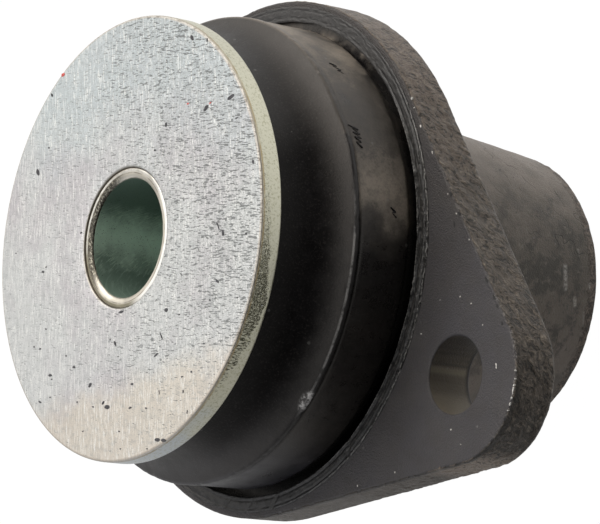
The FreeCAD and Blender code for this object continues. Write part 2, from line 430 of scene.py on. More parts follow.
def washerMaterial():
    v = washerValues
    material, tree, shader = newMaterial('zincPlate')
    place = objectPlace(tree)
    x, y, z = parts(tree, place)
    dashes = noiseValue(tree, objectPlace(tree, scale=(0.75, 3.9, 1.0), turn=v['rollTurn']), 1.0, 2.0, 0.60)
    ticks = noiseValue(tree, objectPlace(tree, scale=(2.3, 5.0, 1.0), turn=v['rollTurn'], origin=(7, 3, 0)),
                       1.0, 2.0, 0.6)
    weave = noiseValue(tree, objectPlace(tree, scale=(4.2, 0.4, 1.0), turn=v['rollTurn'] + math.radians(10)),
                       1.0, 2.0, 0.6)
    fine = noiseValue(tree, place, 5.5, 2.0, 0.7)
    # dashes crowd towards the right and the top of the face, and thin out over the stain
    spread = noiseValue(tree, place, 0.09, 3.0)
    crowd = weighted(tree, [(x, 0.0009), (y, 0.0009), (spread, 0.15)])
    face = mixColour(tree, remap(tree, noiseValue(tree, place, 0.05, 3.0), 0.38, 0.66),
                     v['faceColour'], v['lilacColour'])
    cool = weighted(tree, [(x, -0.45), (y, 1.0), (noiseValue(tree, place, 0.07, 2.0), 26.0)])
    face = painted(tree, face, [(cool, 20.0, 46.0, 0.8, v['coolColour'])])
    # stain over the lower third, with a soft ragged border
    tide = weighted(tree, [(x, -0.62), (y, 1.0), (noiseValue(tree, place, 0.13, 4.0), 15.0)])
    stain = remap(tree, tide, -19.0, -28.5)
    crowd = weighted(tree, [(crowd, 1.0), (stain, -0.075)])
    dashMask = remap(tree, math2(tree, 'ADD', dashes, crowd), 0.650, 0.712)
    tickMask = remap(tree, math2(tree, 'ADD', ticks, crowd), 0.570, 0.690)
    dashDark = remap(tree, math2(tree, 'ADD', x, times(tree, y, 0.5)), -36.0, 22.0, 0.45, 0.84)
    face = mixColour(tree, times(tree, stain, 0.85), face, v['stainColour'])
    clouds = noiseValue(tree, objectPlace(tree, scale=(1.0, 2.0, 1.0), turn=v['rollTurn']), 0.55, 3.0, 0.7)
    face = painted(tree, face, [
        (clouds, 0.48, 0.72, 0.36, (0.30, 0.33, 0.34)),
        (weave, 0.45, 0.75, 0.30, (0.34, 0.36, 0.36)),
        (weave, 0.48, 0.32, 0.70, (0.93, 0.94, 0.92)),
        (fine, 0.40, 0.75, 0.34, (0.34, 0.35, 0.35))])
    face = mixColour(tree, times(tree, times(tree, tickMask, dashDark), 0.55), face,
                     (0.30, 0.32, 0.32))
    face = mixColour(tree, times(tree, dashMask, dashDark), face, v['dashColour'])
    radius = radiusOf(tree, x, y)
    onRim = math2(tree, 'GREATER_THAN', radius, (washerRadius - 0.12 * mm) / mm)
    torn = stored(tree, 'torn')
    # the torn band is crumbly at the top and combed lengthwise further down
    crumbs = noiseValue(tree, place, 4.4, 3.0, 0.7, 0.8)
    comb = noiseValue(tree, objectPlace(tree, scale=(1.0, 1.0, 0.24)), 4.9, 2.0, 0.6)
    chatter = mixValue(tree, remap(tree, y, 4.0, -6.0), crumbs, comb)
    lower = weighted(tree, [(y, -0.03), (noiseValue(tree, place, 0.12, 2.0), 1.0)])
    rim = painted(tree, v['rimColour'], [
        (lower, 0.9, 1.5, 1.0, v['rimCoolColour']),
        (noiseValue(tree, place, 2.3, 4.0, 0.75), 0.50, 0.64, 0.65, (0.36, 0.35, 0.20))])
    gate = minus(tree, 0.68, times(tree, torn, 0.22))
    scored = remap(tree, minus(tree, chatter, gate), 0.0, 0.06)
    scored = times(tree, scored, remap(tree, torn, 0.02, 0.25))
    rim = mixColour(tree, scored, rim, v['tornColour'])
    colour = mixColour(tree, onRim, face, rim)
    # the front rounding is worn duller, with a thin brown line where it meets the rim
    roundFrom = (washerRadius - v['frontRound']) / mm
    rounding = times(tree, remap(tree, z, (topZ - v['frontRound']) / mm, (topZ - v['frontRound'] * 0.5) / mm),
                     remap(tree, radius, roundFrom - 0.1, roundFrom + 0.2))
    colour = mixColour(tree, times(tree, rounding, 0.6), colour, (0.50, 0.45, 0.39))
    away = distance(tree, z, (topZ - v['frontRound']) / mm + 0.03)
    line = times(tree, remap(tree, away, 0.05, 0.26, 1.0, 0.0), onRim)
    line = times(tree, line, remap(tree, noiseValue(tree, place, 0.35, 3.0), 0.30, 0.60, 0.2, 0.85))
    colour = mixColour(tree, line, colour, v['edgeColour'])
    holeEdge = remap(tree, radius, (v['holeRadius'] + v['holeRound']) / mm + 0.1, v['holeRadius'] / mm)
    holeEdge = times(tree, holeEdge, remap(tree, x, 8.0, -8.0, 0.2, 0.85))
    colour = mixColour(tree, holeEdge, colour, (0.22, 0.20, 0.15))
    rough = math2(tree, 'ADD', mixValue(tree, dashMask, 0.44, 0.6), times(tree, rounding, 0.2))
    relief = weighted(tree, [(dashMask, -0.8), (weave, 0.4), (fine, 0.5)])
    relief = mixValue(tree, onRim, relief, times(tree, scored, -1.6))
    connect(tree, shader, {
        'Base Color': colour, 'Metallic': 0.88, 'Roughness': mixValue(tree, onRim, rough, 0.34),
        'Normal': bump(tree, relief, 0.6, 0.05 * mm)})
    return material


def fleckMaterial(name, colour):
    material, tree, shader = newMaterial(name)
    place = objectPlace(tree)
    blotch = remap(tree, noiseValue(tree, place, 2.5, 3.0, 0.6), 0.35, 0.7)
    lighter = tuple(0.01 + 2.0 * part for part in colour)
    connect(tree, shader, {'Base Color': mixColour(tree, blotch, colour, lighter), 'Roughness': 0.7})
    return material


def makeFlakes(name, flakes, height, thickness, material, cadNode):
    # thin many-sided flakes that lie on a face
    deselectAll()
    for index, (x, y, length, width, turn) in enumerate(flakes):
        add = bpy.ops.mesh.primitive_cylinder_add
        add(vertices=9, radius=0.5, depth=1.0, location=(x * mm, y * mm, height),
            rotation=(0, 0, math.radians(turn)), scale=(length * mm, width * mm, thickness))
        if index == 0:
            flake = bpy.context.object
            flake.name = name
            bpy.ops.object.transform_apply(location=True, rotation=True, scale=True)
            bpy.ops.object.mode_set(mode='EDIT')
    bpy.ops.object.mode_set(mode='OBJECT')
    for vertex in flake.data.vertices:
        side = noise.noise_vector(Vector((vertex.co.x, vertex.co.y, 0.0)) * 2600)
        vertex.co.x += side.x * 0.16 * mm
        vertex.co.y += side.y * 0.10 * mm
    finishPiece(flake, material, cadNode, degrees=20)
    return flake


def makeStopWasher():
    v = washerValues
    hole, rim = v['holeRadius'], washerRadius
    front, back, mouth = v['frontRound'], v['backRound'], v['holeRound']
    profile = [(hole, washerBackZ)] + run((hole, washerBackZ), (rim - back, washerBackZ), 4)
    profile += bow(profile[-1], (rim, washerBackZ), (rim, washerBackZ + back), 4)[1:]
    profile += run(profile[-1], (rim, topZ - front), 22)
    profile += bow(profile[-1], (rim, topZ), (rim - front, topZ), 6)[1:]
    profile += run(profile[-1], (hole + mouth, topZ), 8)
    profile += bow(profile[-1], (hole, topZ), (hole, topZ - mouth), 5)[1:]
    profile += run(profile[-1], (hole, washerBackZ), 3)[:-1]
    washer = lathe('stopWasher', profile, 900)
    smoothRim = rim - 0.02 * mm

    def tornHere(spot):
        if math.hypot(spot.x, spot.y) < rim - 0.5 * mm or spot.z > topZ - 0.25 * mm:
            return 0.0
        turn = azimuth(spot)
        share, low = ramp(turn, tornShare), ramp(turn, tornFrom)
        if abs(turn) >= 70:
            share, low = 0.45 * (0.5 + noise.noise(Vector((turn * 0.05, 1, 1)))), 88.6
        low += noise.noise(Vector((turn * 0.35, 3.0, 0.0))) * 0.7
        return share * max(0.0, min(1.0, (spot.z / mm - low) / 0.35))

    mark(washer, 'torn', tornHere)
    depths = [cell.value for cell in washer.data.attributes['torn'].data]
    for vertex, depth in zip(washer.data.vertices, depths):
        if depth > 0 and math.hypot(vertex.co.x, vertex.co.y) > smoothRim:
            pit = noise.fractal(vertex.co * 1900, 1.0, 2.0, 3)
            pushOut(vertex.co, -v['tornDepth'] * (0.7 + pit) * depth)
    finishPiece(washer, washerMaterial(), 'stop_washer')
    for name, flakes, paint, colour in (('washerFlecks', flecks, 'darkFleck', (0.03, 0.03, 0.035)),
                                        ('washerRedFlecks', redFlecks, 'redFleck', (0.42, 0.07, 0.06))):
        makeFlakes(name, flakes, topZ, 0.1 * mm, fleckMaterial(paint, colour), 'stop_washer')
    return washer


# inner sleeve

sleeveValues = {
    'boreRadius': 10.7 * mm,
    'mouthFrom': 12.0 * mm,         # where the spigot's end starts to round into the bore
    'mouthDepth': 0.8 * mm,
    'spigotRadius': 12.6 * mm,
    'spigotBreak': 0.35 * mm,
    'endChamfer': 0.8 * mm,
    'boreColour': (0.150, 0.215, 0.180),
    'boreHighlightColour': (0.74, 0.93, 0.80),
    'ringColour': (0.92, 0.91, 0.86),
    'mouthColour': (0.62, 0.59, 0.52),
    'seamColour': (0.20, 0.15, 0.10),
}


def sleeveMaterial():
    v = sleeveValues
    material, tree, shader = newMaterial('zincSleeve')
    place = objectPlace(tree)
    x, y, z = parts(tree, place)
    radius = radiusOf(tree, x, y)
    inBore = math2(tree, 'LESS_THAN', radius, v['boreRadius'] / mm + 0.03)
    # the bore is dull green, with a painted highlight band half way up the wall, and fine slanting machining
    # marks
    height = math2(tree, 'ABSOLUTE', math2(tree, 'ADD', y, 2.5))
    height = weighted(tree, [(height, 1.0), (noiseValue(tree, place, 0.25, 3.0), 5.0)])
    bore = mixColour(tree, remap(tree, height, 2.4, 8.8, 1.0, 0.0), v['boreColour'], v['boreHighlightColour'])
    slant = node(tree, 'ShaderNodeCombineXYZ', None, {
        0: weighted(tree, [(z, 0.55), (y, 0.9)]), 1: weighted(tree, [(z, -0.12), (y, 0.09)])})
    marks = noiseValue(tree, slant.outputs[0], 4.0, 1.0, 0.5)
    grain = noiseValue(tree, place, 3.4, 3.0, 0.7)
    scored = remap(tree, y, 4.5, 0.0)
    scored = times(tree, scored, remap(tree, y, -9.5, -6.0, 0.2, 1.0))
    bore = mixColour(tree, times(tree, scored, remap(tree, marks, 0.50, 0.66, 0.0, 0.42)), bore,
                     (0.70, 0.86, 0.72))
    bore = painted(tree, bore, [(grain, 0.60, 0.68, 0.8, (0.03, 0.045, 0.035))])
    # the spigot's end: bright ring, duller mouth, dark seam towards the washer; the mouth carries painted
    # shade on the far side, and the seam is darkened more there as painted shade
    side = weighted(tree, [(x, -0.98), (y, -0.12)])
    mouthPaintedShade = remap(tree, side, 3.0, 8.0)
    mouth = mixColour(tree, mouthPaintedShade, v['mouthColour'], (0.045, 0.042, 0.032))
    pitted = noiseValue(tree, objectPlace(tree, scale=(1, 1, 2.0)), 2.4, 3.0, 0.7)
    mouth = painted(tree, mouth, [(pitted, 0.48, 0.66, 0.55, (0.60, 0.57, 0.46))])
    # painted reflection: the ring is lighter on the near side and darker towards its top and bottom
    ring = painted(tree, v['ringColour'], [
        (noiseValue(tree, place, 0.6, 3.0), 0.4, 0.7, 1.0, (0.62, 0.60, 0.50)),
        (y, -3.0, -9.0, 0.9, (0.22, 0.20, 0.13)),
        (y, 4.0, 9.0, 0.7, (0.48, 0.47, 0.44)),
        (side, -5.0, -9.0, 0.9, (0.97, 0.97, 0.94))])
    mouthFrom, spigot = v['mouthFrom'] / mm, v['spigotRadius'] / mm
    end = mixColour(tree, remap(tree, radius, mouthFrom - 0.25, mouthFrom + 0.05), mouth, ring)
    seam = remap(tree, radius, spigot - v['spigotBreak'] / mm + 0.02, spigot - 0.04)
    # fine turned lines round the ring
    turned = distance(tree, radius, 11.72)
    turned = times(tree, remap(tree, turned, 0.03, 0.13, 0.75, 0.0),
                   remap(tree, noiseValue(tree, place, 0.35, 3.0), 0.38, 0.55))
    end = mixColour(tree, turned, end, (0.14, 0.12, 0.09))
    end = mixColour(tree, times(tree, seam, remap(tree, side, -4.0, 8.0, 0.05, 1.0)), end, v['seamColour'])
    shine = remap(tree, side, -4.0, -9.0, 0.6, 0.2)
    relief = weighted(tree, [(marks, 0.7), (grain, 0.6)])
    connect(tree, shader, {
        'Base Color': mixColour(tree, inBore, end, bore), 'Metallic': mixValue(tree, inBore, shine, 0.12),
        'Roughness': mixValue(tree, inBore, 0.26, 0.45), 'Normal': bump(tree, relief, 0.5, 0.05 * mm)})
    return material


def makeInnerSleeve():
    v = sleeveValues
    bore, spigot, end = v['boreRadius'], v['spigotRadius'], v['endChamfer']
    top = sleeveTopZ
    profile = [(bore, end), (bore + end, 0.0), (sleeveRadius, 0.0)]
    profile += run((sleeveRadius, 0.0), (sleeveRadius, washerBackZ), 3)
    profile += [(spigot, washerBackZ), (spigot, top - v['spigotBreak'])]
    profile += bow(profile[-1], (spigot, top), (spigot - v['spigotBreak'], top), 4)[1:]
    profile += [(v['mouthFrom'], top)]
    profile += bow(profile[-1], (bore, top), (bore, top - v['mouthDepth']), 8)[1:]
    profile += run(profile[-1], (bore, end), 24)[:-1]
    sleeve = lathe('innerSleeve', profile, 300)
    mouthFloor = top - v['mouthDepth'] - 0.05 * mm
    for vertex in sleeve.data.vertices:
        spot = vertex.co
        # the riveted end is a little uneven
        if spot.z > mouthFloor and math.hypot(spot.x, spot.y) < spigot - 0.1 * mm:
            spot.z += noise.fractal(spot * 420, 1.0, 2.0, 3) * 0.05 * mm - 0.03 * mm
    finishPiece(sleeve, sleeveMaterial(), 'inner_sleeve')
    return sleeve


# rubber body and its flash ring

rubberValues = {
    'neckRadius': 36.0 * mm,
    'neckDrop': 9.4 * mm,
    'lipTop': 72.8 * mm,
    'lipLand': 0.9 * mm,
    'lipRound': 0.28 * mm,
    'lipOverhang': 0.5 * mm,
    'undercut': 0.45 * mm,          # depth and height of the shadow gap under the lip
    'liningThickness': 1.0 * mm,
    'grooveWidth': 2.4 * mm,
    'grooveFloor': 3.6 * mm,        # below the flange's face
    'shoulderRise': 1.0 * mm,
    'shoulderWidth': 0.9 * mm,
    'recessDepth': 5.0 * mm,
    'skirtTopRadius': 32.4 * mm,
    'skirtEndRadius': 27.1 * mm,
    'skirtWall': 4.0 * mm,
    'mouthBreak': 1.5 * mm,         # where the recess runs into the skirt
    'rearInset': 1.4 * mm,
    'rearDish': 1.6 * mm,
    'scuffPlace': (40.8 * mm, -13.8 * mm, 72.9 * mm),
    'scuffReach': 3.0 * mm,
    'scuffWidth': 1.3 * mm,
    'colour': (0.0060, 0.0056, 0.0060),
    'filmAndSheenColour': (0.105, 0.092, 0.078),
    'filmSheenHighlightColour': (0.26, 0.225, 0.185),
    'scuffColour': (0.60, 0.59, 0.58),
}

# how much brown film and painted sheen lies on the barrel, by azimuth in degrees
filmAndSheenShare = [(-180, 0.3), (-110, 0.7), (-72, 0.8), (-60, 0.5), (-35, 0.45), (-15, 0.22), (19, 0.04),
             (24, 0.3), (27, 1.4), (31, 2.1), (38, 1.7), (44, 0.95), (50, 0.6), (60, 0.8), (72, 1.2),
             (85, 2.0), (100, 2.2), (130, 1.0), (180, 0.3)]
filmAndSheenMost = 2.2
filmAndSheenFrom = 57.6     # height in millimetres where the film begins, and how much higher it does by azimuth
filmAndSheenRise = [(48, 0.0), (62, 1.2), (90, 1.0)]
# how strongly dark blots of painted shadow break the film next to the ring, by azimuth in degrees
shadowBlotShare = [(44, 0.5), (56, 3.5), (88, 2.5), (100, 1.0)]

# how deep the shadow gap under the lip is
gapShare = [(-180, 0.2), (-70, 0.2), (-30, 0.6), (-5, 1.0), (42, 1.0), (50, 0.0), (110, 0.0), (180, 0.2)]

# where the lip runs flush into the barrel, and where flash fills the groove
lipFade = [(-180, 0.3), (-60, 0.7), (-25, 0.3), (0, 0.0), (44, 0.0), (54, 0.8), (110, 0.8), (180, 0.3)]
grooveFill = [(54, 0), (72, 0.85), (112, 0.85), (130, 0)]

# raised moulding burrs on the barrel: points as azimuth in degrees and height in millimetres
burrs = [
    [(50.0, 71.5), (48.9, 69.2), (49.5, 71.2), (47.7, 69.0), (48.3, 71.1), (46.6, 68.9), (47.1, 71.0),
     (45.4, 69.1), (45.8, 70.8), (44.2, 69.5)],
    [(71.0, 68.9), (70.2, 67.6), (70.0, 68.6), (68.8, 67.2), (68.4, 68.0), (67.6, 67.0)],
    [(30.4, 64.6), (29.4, 63.6), (29.2, 64.4), (28.2, 63.4)],
]


def skirtRadius(height):
    v = rubberValues
    share = height / skirtHeight
    return v['skirtEndRadius'] + (v['skirtTopRadius'] - v['skirtEndRadius']) * share


def rubberMaterial():
    v = rubberValues
    material, tree, shader = newMaterial('blackRubber')
    place = objectPlace(tree)
    x, y, z = parts(tree, place)
    dust = useGroup(tree, dustGroup, place, {'Speck Size': 0.09, 'Speck Scale': 0.30, 'Film Scale': 0.07})
    grain = useGroup(tree, grainGroup, place, {'Fine Scale': 3.4, 'Swell Scale': 0.22, 'Swell Share': 0.35})
    smear = noiseValue(tree, objectPlace(tree, scale=(1, 1, 0.30)), 0.20, 5.0, 0.62, 0.8)
    mottle = noiseValue(tree, place, 0.45, 5.0, 0.68)
    lipZ = v['lipTop'] / mm
    landZ = (v['lipTop'] - v['lipLand']) / mm
    onBarrel = remap(tree, z, landZ + 0.1, landZ - 0.2)
    onLip = times(tree, remap(tree, z, lipZ + 0.35, lipZ + 0.05),
                  remap(tree, z, landZ - 0.1, landZ))
    colour = mixColour(tree, remap(tree, mottle, 0.45, 0.72, 0.0, 0.45), v['colour'], (0.018, 0.017, 0.018))
    colour = mixColour(tree, times(tree, dust['Film'], 0.15), colour, (0.030, 0.028, 0.028))
    # the brown film is partly painted sheen: bluer towards the bottom, and lighter still where it is
    # thickest, as a painted highlight
    film = times(tree, stored(tree, 'film'), filmAndSheenMost)
    speckle = noiseValue(tree, place, 2.6, 3.0, 0.7)
    colour = mixColour(tree, remap(tree, speckle, 0.52, 0.68, 0.0, 0.7), colour, (0.034, 0.030, 0.029))
    film = times(tree, film, remap(tree, mottle, 0.30, 0.62, 0.6, 1.0))
    film = times(tree, film, remap(tree, speckle, 0.30, 0.60, 0.75, 1.0))
    paint = mixColour(tree, remap(tree, y, -18.0, -32.0), v['filmAndSheenColour'], (0.066, 0.066, 0.080))
    colour = mixColour(tree, film, colour, paint)
    colour = mixColour(tree, times(tree, minus(tree, film, 0.75), 0.85), colour,
                       v['filmSheenHighlightColour'])
    colour = mixColour(tree, times(tree, onLip, 0.3), colour, (0.020, 0.020, 0.022))
    colour = mixColour(tree, times(tree, dust['Specks'], 0.35), colour, (0.20, 0.20, 0.19))
    # painted highlight: a thin pale line along the lip's edge, on the side of the near lobe
    edge = remap(tree, distance(tree, z, lipZ + 0.02), 0.05, 0.24, 1.0, 0.0)
    edge = times(tree, edge, remap(tree, weighted(tree, [(x, 1.0), (y, -0.3)]), 26.0, 36.0))
    edge = times(tree, edge, remap(tree, noiseValue(tree, place, 0.5, 4.0, 0.7), 0.36, 0.60, 0.15, 0.9))
    edge = times(tree, edge, remap(tree, y, -19.0, -11.0))
    colour = mixColour(tree, edge, colour, (0.26, 0.255, 0.25))
    nearLip = times(tree, remap(tree, z, lipZ + 3.5, lipZ + 0.3), remap(tree, z, lipZ + 0.05, lipZ + 0.5))
    colour = mixColour(tree, times(tree, nearLip, remap(tree, mottle, 0.35, 0.65, 0.2, 0.7)), colour,
                       (0.030, 0.028, 0.027))
    scuff = stored(tree, 'scuff')
    scraped = noiseValue(tree, objectPlace(tree, scale=(1, 1, 0.6)), 1.7, 3.0, 0.6)
    scraped = times(tree, remap(tree, scuff, 0.0, 0.8), remap(tree, scraped, 0.40, 0.60, 0.12, 1.0))
    colour = mixColour(tree, scraped, colour, v['scuffColour'])
    gloss = mixValue(tree, onBarrel, 0.42, mixValue(tree, film, 0.27, 0.52))
    rough = weighted(tree, [(gloss, 1.0), (minus(tree, smear, 0.5), 0.22),
                            (minus(tree, mottle, 0.5), 0.30)])
    # painted shade: the groove under the flange's face is painted black on the lower side
    faceZ = flangeTopZ / mm
    pit = times(tree, remap(tree, z, faceZ + 0.2, faceZ - 0.8), remap(tree, y, 4.0, -6.0))
    colour = mixColour(tree, pit, colour, (0.001, 0.001, 0.001))
    # duller in the hollow of the collar that faces the near lobe
    hollow = weighted(tree, [(x, 1.0), (math2(tree, 'ABSOLUTE', y), -0.45)])
    dull = times(tree, remap(tree, hollow, 5.0, 17.0), remap(tree, z, lipZ + 1.0, lipZ + 5.0))
    dull = math2(tree, 'MAXIMUM', dull, pit)
    relief = weighted(tree, [(grain['Height'], 1.0), (mottle, 0.6), (speckle, 0.7), (scraped, 0.8)])
    connect(tree, shader, {
        'Base Color': colour, 'Roughness': rough, 'Specular IOR Level': mixValue(tree, dull, 0.42, 0.16),
        'Specular Tint': (1.0, 0.95, 0.90), 'Normal': bump(tree, relief, 0.35, 0.10 * mm)})
    return material


# lines along the flash ring, the pale ones painted highlights on the ridges and the dark ones painted shade:
# millimetres from the recess, width, colour and strength
flashLightAndShadeLines = [(-0.62, 0.15, (0.22, 0.215, 0.205), 0.9), (1.80, 0.12, (0.27, 0.265, 0.255), 0.9),
              (0.40, 0.10, (0.12, 0.115, 0.11), 0.6), (1.32, 0.24, (0.003, 0.003, 0.003), 1.0),
              (-0.12, 0.28, (0.003, 0.003, 0.003), 0.95), (0.80, 0.12, (0.004, 0.004, 0.004), 0.8)]


def flashMaterial():
    material, tree, shader = newMaterial('rubberFlash')
    place = objectPlace(tree)
    x, y = parts(tree, place)[:2]
    recess = recessRadius / mm
    drift = noiseValue(tree, place, 0.5, 3.0)
    across = weighted(tree, [(radiusOf(tree, x, y), 1.0), (drift, 0.5)])
    lines = stored(tree, 'lines')
    grain = useGroup(tree, grainGroup, place, {'Fine Scale': 3.6, 'Swell Scale': 1.2, 'Swell Share': 0.25})
    flat = mixColour(tree, grain['Mask'], (0.016, 0.016, 0.017), (0.034, 0.033, 0.034))
    rough = mixColour(tree, grain['Mask'], (0.006, 0.006, 0.006), (0.085, 0.080, 0.074))
    colour = mixColour(tree, lines, flat, rough)
    # painted highlights as fine pale lines on both ridges, painted shade as a dark dotted line inside the
    # outer one
    for offset, width, paint, strength in flashLightAndShadeLines:
        away = distance(tree, across, recess + offset)
        stripe = times(tree, remap(tree, away, 0.0, width, 1.0, 0.0), mixValue(tree, lines, 0.08, 1.0))
        broken = remap(tree, noiseValue(tree, place, 2.4, 3.0, 0.65), 0.40, 0.54)
        stripe = times(tree, times(tree, stripe, broken), strength)
        colour = mixColour(tree, stripe, colour, paint)
    # dark splits in the lower part of the ring
    splits = remap(tree, noiseValue(tree, place, 0.75, 3.0, 0.65), 0.49, 0.55)
    splits = times(tree, splits, remap(tree, y, -31.0, -35.0, 0.0, 0.9))
    colour = mixColour(tree, splits, colour, (0.003, 0.003, 0.003))
    connect(tree, shader, {'Base Color': colour, 'Roughness': 0.46,
                           'Normal': bump(tree, grain['Height'], 0.5, 0.14 * mm)})
    return material


def makeRubberBody(material):
    v = rubberValues
    lining = recessRadius - v['liningThickness']
    groove = lining - v['grooveWidth']
    barrel = groove + v['shoulderWidth']
    lip = barrel + v['lipOverhang']
    landZ = v['lipTop'] - v['lipLand']
    shoulderZ = flangeTopZ + v['shoulderRise']
    floorZ = flangeTopZ - v['grooveFloor']
    recessZ = flangeTopZ - v['recessDepth']
    mouth = skirtRadius(recessZ) - v['skirtWall']
    rear = skirtRadius(v['rearInset']) - v['skirtWall']
    cut = v['undercut']
    mouthBreak = v['mouthBreak']
    brimZ = flangeTopZ - 0.3 * mm
    profile = bow((v['neckRadius'], washerBackZ), (v['neckRadius'], washerBackZ - v['neckDrop']),
                  (lip, v['lipTop']), 30)
    profile += run((lip, v['lipTop']), (lip, landZ), 2)
    profile += [(barrel - cut * 0.7, landZ + 0.05 * mm), (barrel - cut, landZ - cut * 0.5)]
    profile += bow(profile[-1], (barrel, landZ - cut * 1.4), (barrel, landZ - cut * 2.6), 4)[1:]
    profile += run(profile[-1], (barrel, shoulderZ), 24)
    profile += bow((barrel, shoulderZ), (groove, shoulderZ - 1.0 * mm), (groove, floorZ), 8)[1:]
    profile += run((groove, floorZ), (lining, floorZ), 4)
    profile += run((lining, floorZ), (lining, brimZ), 4)
    profile += [(recessRadius, brimZ), (recessRadius, recessZ)]
    profile += [(mouth + mouthBreak, recessZ), (mouth, recessZ - mouthBreak)]
    profile += run(profile[-1], (rear, v['rearInset']), 6)
    profile += bow((rear, v['rearInset']), (rear - 2.0 * mm, v['rearInset'] + v['rearDish']),
                   (sleeveRadius, v['rearInset'] + v['rearDish']), 8)[1:]
    profile += run((sleeveRadius, v['rearInset'] + v['rearDish']), (sleeveRadius, washerBackZ), 4)
    body = lathe('rubberBody', profile, 600)
    pickEdges(body, ringTest(lip, v['lipTop']))
    bevelPicked(v['lipRound'], 3)
    pickEdges(body, ringTest(lip, landZ))
    bevelPicked(0.15 * mm, 2)
    slack = 0.1 * mm
    for vertex in body.data.vertices:
        spot = vertex.co
        radius = math.hypot(spot.x, spot.y)
        if floorZ - slack < spot.z < brimZ - 0.01 * mm and groove - slack < radius < lining + slack:
            # the groove is choked with flash on one side
            spot.z += (brimZ - spot.z) * ramp(azimuth(spot), grooveFill)
        if radius < v['neckRadius'] - 0.1 * mm or spot.z < shoulderZ:
            continue
        turn = azimuth(spot)
        if landZ - cut * 2.7 < spot.z < landZ + 0.1 * mm and radius < barrel:
            pushOut(spot, (barrel - radius) * (1 - ramp(turn, gapShare)))
        if radius > barrel:
            pushOut(spot, (barrel - radius) * ramp(turn, lipFade))
        # the moulding is slightly uneven, most of all along the lip
        wave = noise.fractal(spot * 90, 1.0, 2.0, 3) * 0.05 * mm
        if landZ - 0.05 * mm < spot.z < v['lipTop'] + 0.3 * mm and radius > barrel + 0.1 * mm:
            wave += min(0.0, noise.fractal(spot * 700, 1.0, 2.0, 3) + 0.10) * 0.22 * mm
        pushOut(spot, wave)
    scuffed = Vector(v['scuffPlace'])
    alongLip = Vector((-scuffed.y, scuffed.x, 0)).normalized()

    def scuffHere(spot):
        away = spot - scuffed
        along = away.dot(alongLip)
        across = (away - along * alongLip).length
        return 1.7 * (1.0 - math.hypot(along / v['scuffReach'], across / v['scuffWidth']))

    mark(body, 'scuff', scuffHere)

    def filmAndSheenHere(spot):
        if spot.y < 0 and spot.z < flangeTopZ + 0.8 * mm:
            return 0.0
        if not floorZ <= spot.z <= v['lipTop'] + 0.4 * mm or math.hypot(spot.x, spot.y) < groove - slack:
            return 0.0
        cloud = noise.fractal(spot * 130, 1.0, 2.0, 4)
        turn = azimuth(spot) + cloud * 4
        if spot.z > landZ - 0.3 * mm:
            return 0.95 * ramp(turn, filmAndSheenShare) / filmAndSheenMost if abs(turn) > 48 else 0.0
        # higher up the ring's inner side the film is broken by dark blots of painted shadow
        shadowBlots = noise.fractal(spot * 420, 1.0, 2.0, 4) * ramp(turn, shadowBlotShare)
        height = (spot.z / mm + cloud * 2.0 + shadowBlots - filmAndSheenFrom - ramp(turn, filmAndSheenRise)) / 2.6
        return ramp(turn, filmAndSheenShare) * max(0.0, min(1.0, height)) * (1.0 + 0.5 * cloud) / filmAndSheenMost

    mark(body, 'film', filmAndSheenHere)
    finishPiece(body, material, 'rubber_body', degrees=50)
    return body


def makeBurrs(material):
    # thin worms of rubber left on the barrel by the mould
    v = rubberValues
    radius = recessRadius - v['liningThickness'] - v['grooveWidth'] + v['shoulderWidth'] + 0.02 * mm
    deselectAll()
    made = []
    for points in burrs:
        bpy.ops.curve.primitive_nurbs_path_add(location=(0, 0, 0))
        worm = bpy.context.object
        bpy.ops.object.mode_set(mode='EDIT')
        bpy.ops.curve.subdivide(number_cuts=4)
        bpy.ops.object.mode_set(mode='OBJECT')
        spline = worm.data.splines[0]
        spline.order_u = 3
        count = len(spline.points)
        for index, point in enumerate(spline.points):
            share = index / (count - 1) * (len(points) - 1)
            low = min(int(share), len(points) - 2)
            turn = math.radians(points[low][0] + (points[low + 1][0] - points[low][0]) * (share - low))
            height = points[low][1] + (points[low + 1][1] - points[low][1]) * (share - low)
            point.co = (radius * math.cos(turn), radius * math.sin(turn), height * mm, 1.0)
            point.radius = 0.6 + 0.4 * math.sin(share * 2.3)
        worm.data.bevel_depth = 0.20 * mm
        worm.data.bevel_resolution = 2
        worm.data.use_fill_caps = True
        bpy.ops.object.convert(target='MESH')
        made.append(worm)
    deselectAll()
    for worm in made:
        worm.select_set(True)
    bpy.context.view_layer.objects.active = made[0]
    bpy.ops.object.join()
    made[0].name = 'mouldingBurrs'
    finishPiece(made[0], material, 'rubber_body', degrees=60)
    return made[0]


flashValues = {
    'innerEdge': -1.15,     # millimetres from the recess radius
    'innerCrest': -0.85,
    'innerValley': -0.42,
    'bandInner': -0.1,
    'bandOuter': 0.75,
    'outerValley': 1.02,
    'outerCrest': 1.42,
    'crestHeight': 0.5,
    'valleyHeight': 0.02,
    'bandHeight': 0.26,
    'outerHeight': 0.36,
}

# how strongly the ridges stand up round the ring, by azimuth in degrees
ridgeShare = [(-180, 0.6), (-120, 0.6), (-80, 0.35), (-55, 0.35), (-40, 0.6), (-10, 0.85), (30, 1.0),
              (48, 0.85), (60, 0.3), (74, 0.08), (110, 0.15), (180, 0.6)]
# places where the ring is nicked or split: azimuth, half width in degrees, depth in millimetres
nicks = [(-56.5, 1.0, 0.22), (-66.0, 0.5, 0.16), (-74.5, 0.8, 0.2),
         (-28.0, 1.2, 0.4), (12.0, 0.7, 0.2),
         (150.0, 1.2, 0.3), (-140.0, 1.0, 0.3)]


